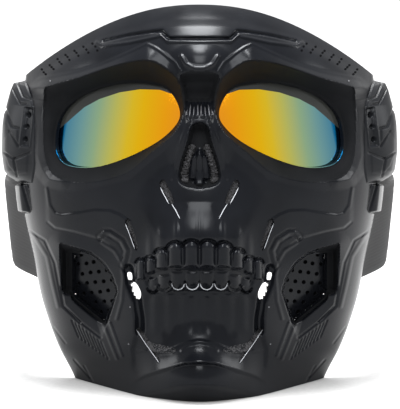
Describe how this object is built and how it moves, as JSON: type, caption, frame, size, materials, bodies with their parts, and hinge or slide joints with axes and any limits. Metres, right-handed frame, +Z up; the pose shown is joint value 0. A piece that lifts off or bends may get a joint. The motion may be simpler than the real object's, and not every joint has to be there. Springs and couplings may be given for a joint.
{
  "type": "skull face mask with goggle lens",
  "caption": "Hard black skull-shaped full-face mask with a mirrored goggle lens, perforated cheeks, slotted jaw, temple blocks and an elastic head strap.",
  "frame": {"origin": "centre of the whole mask's bounding box, on the plane that the lower rim stands on", "axes": "+Z up, -Y the way the face looks, +X to the right of someone who looks at the face"},
  "size_m": [0.2376, 0.2188, 0.2358],
  "materials": {
    "black_plastic": "semi-gloss moulded black",
    "mirror_lens": "iridescent mirror, orange in the middle to blue at the sides",
    "black_webbing": "woven elastic",
    "filter_foam": "open-cell foam"
  },
  "bodies": {
    "root": {"mask_shell": "black_plastic", "temple_block_left": "black_plastic", "temple_block_right": "black_plastic", "strap_clip_left": "black_plastic", "strap_clip_right": "black_plastic", "strap_anchor_left": "black_plastic", "strap_anchor_right": "black_plastic", "cheek_grille_left": "black_plastic", "cheek_grille_right": "black_plastic", "nose_filter": "filter_foam", "cheek_filter_left": "filter_foam", "cheek_filter_right": "filter_foam", "jaw_filter_left": "filter_foam", "jaw_filter_right": "filter_foam", "goggle_lens": "mirror_lens", "head_strap": "black_webbing"}
  },
  "joints": []
}
